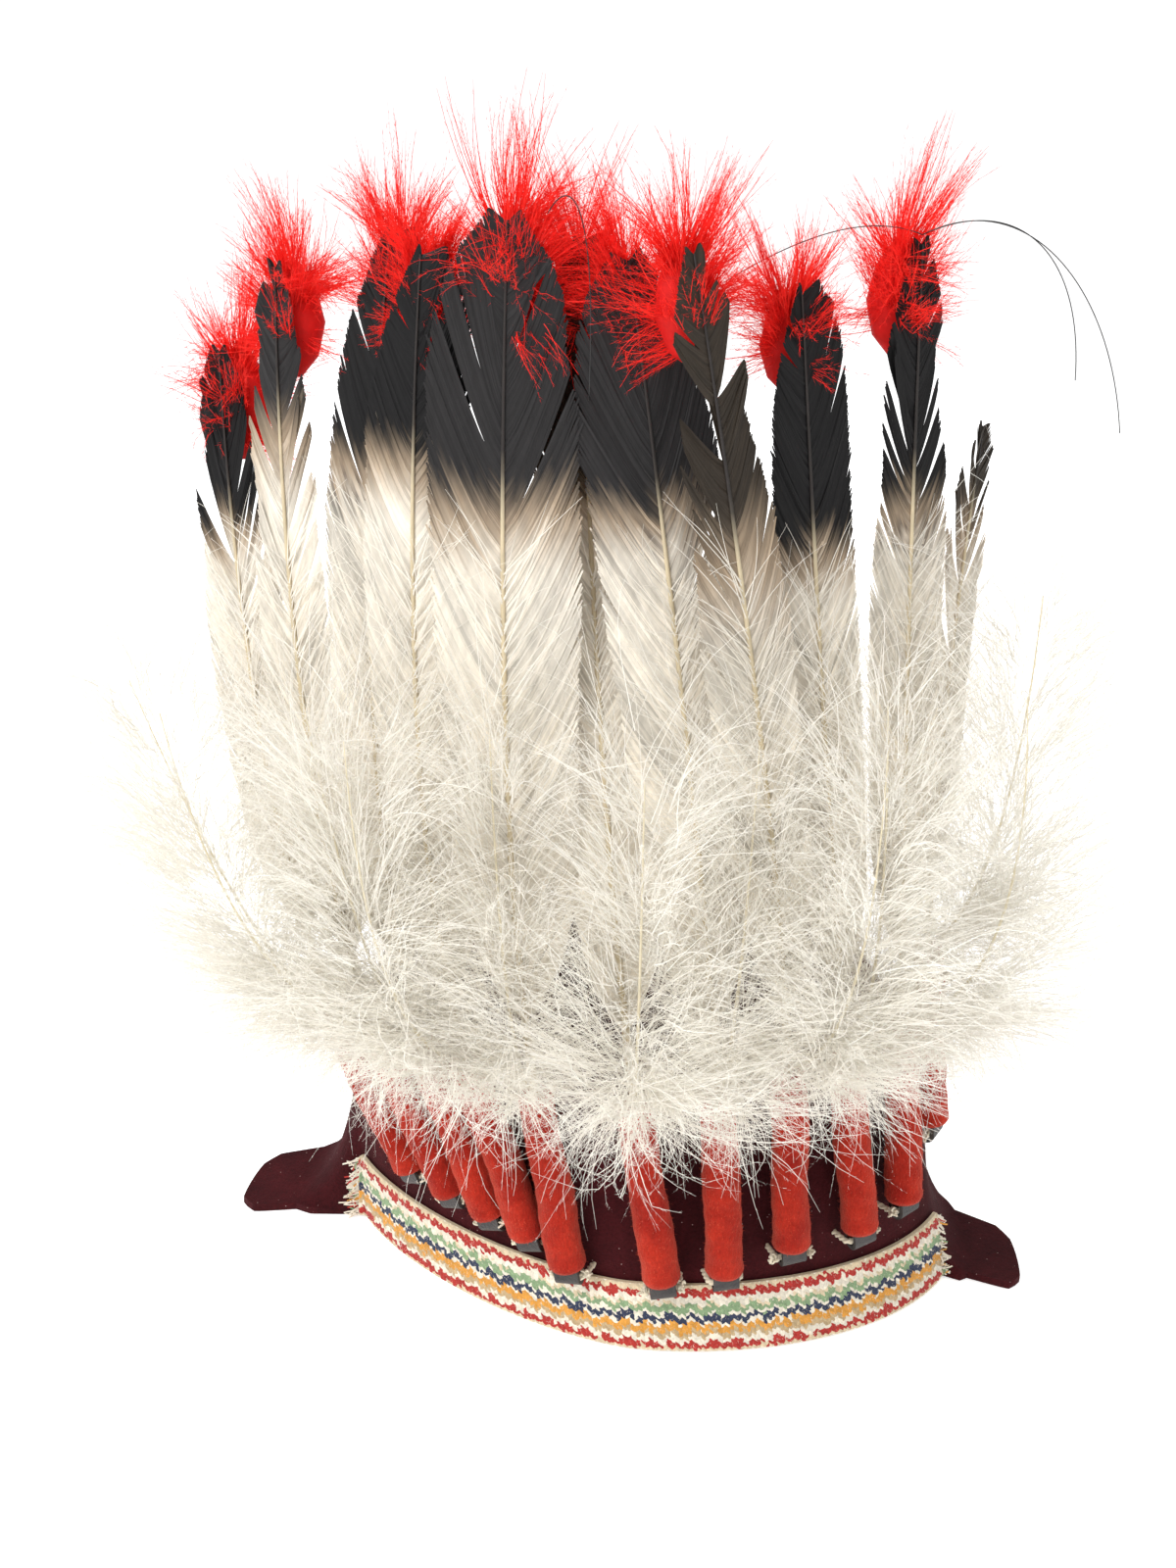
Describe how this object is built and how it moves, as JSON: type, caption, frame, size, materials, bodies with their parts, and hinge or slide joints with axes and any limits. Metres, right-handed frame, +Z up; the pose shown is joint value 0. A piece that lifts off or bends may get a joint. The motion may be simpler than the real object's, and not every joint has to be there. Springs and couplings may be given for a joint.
{
  "type": "feathered headdress",
  "caption": "Suede skullcap with ear flaps, a woven brow trim and an upright crest of wing feathers with red-wrapped quills, white down and red tip tufts.",
  "frame": {"origin": "on the floor under the middle of the whole thing's box", "axes": "+Z up; the brow faces -Y; +X is the viewer's right, the wearer's left ear"},
  "size_m": [0.2438, 0.1933, 0.3081],
  "materials": {
    "cap_suede": "matte",
    "woven_trim": "matte",
    "lacing": "matte",
    "loop_leather": "matte",
    "wrap_felt": "matte",
    "wing_feather": "satin",
    "white_down": "matte",
    "red_down": "matte"
  },
  "bodies": {
    "root": {"cap": "cap_suede", "brow_trim": "woven_trim", "lacing_cord": "lacing", "loop_01": "loop_leather", "wrap_01": "wrap_felt", "feather_01": "wing_feather", "down_plume_01": "white_down", "tip_tuft_01": "red_down", "loop_02": "loop_leather", "wrap_02": "wrap_felt", "feather_02": "wing_feather", "down_plume_02": "white_down", "tip_tuft_02": "red_down", "loop_03": "loop_leather", "wrap_03": "wrap_felt", "feather_03": "wing_feather", "down_plume_03": "white_down", "tip_tuft_03": "red_down", "loop_04": "loop_leather", "wrap_04": "wrap_felt", "feather_04": "wing_feather", "down_plume_04": "white_down", "tip_tuft_04": "red_down", "loop_05": "loop_leather", "wrap_05": "wrap_felt", "feather_05": "wing_feather", "down_plume_05": "white_down", "tip_tuft_05": "red_down", "loop_06": "loop_leather", "wrap_06": "wrap_felt", "feather_06": "wing_feather", "down_plume_06": "white_down", "tip_tuft_06": "red_down", "loop_07": "loop_leather", "wrap_07": "wrap_felt", "feather_07": "wing_feather", "down_plume_07": "white_down", "tip_tuft_07": "red_down", "loop_08": "loop_leather", "wrap_08": "wrap_felt", "feather_08": "wing_feather", "down_plume_08": "white_down", "tip_tuft_08": "red_down", "loop_09": "loop_leather", "wrap_09": "wrap_felt", "feather_09": "wing_feather", "down_plume_09": "white_down", "tip_tuft_09": "red_down", "loop_10": "loop_leather", "wrap_10": "wrap_felt", "feather_10": "wing_feather", "down_plume_10": "white_down", "tip_tuft_10": "red_down", "loop_11": "loop_leather", "wrap_11": "wrap_felt", "feather_11": "wing_feather", "down_plume_11": "white_down"}
  },
  "joints": []
}
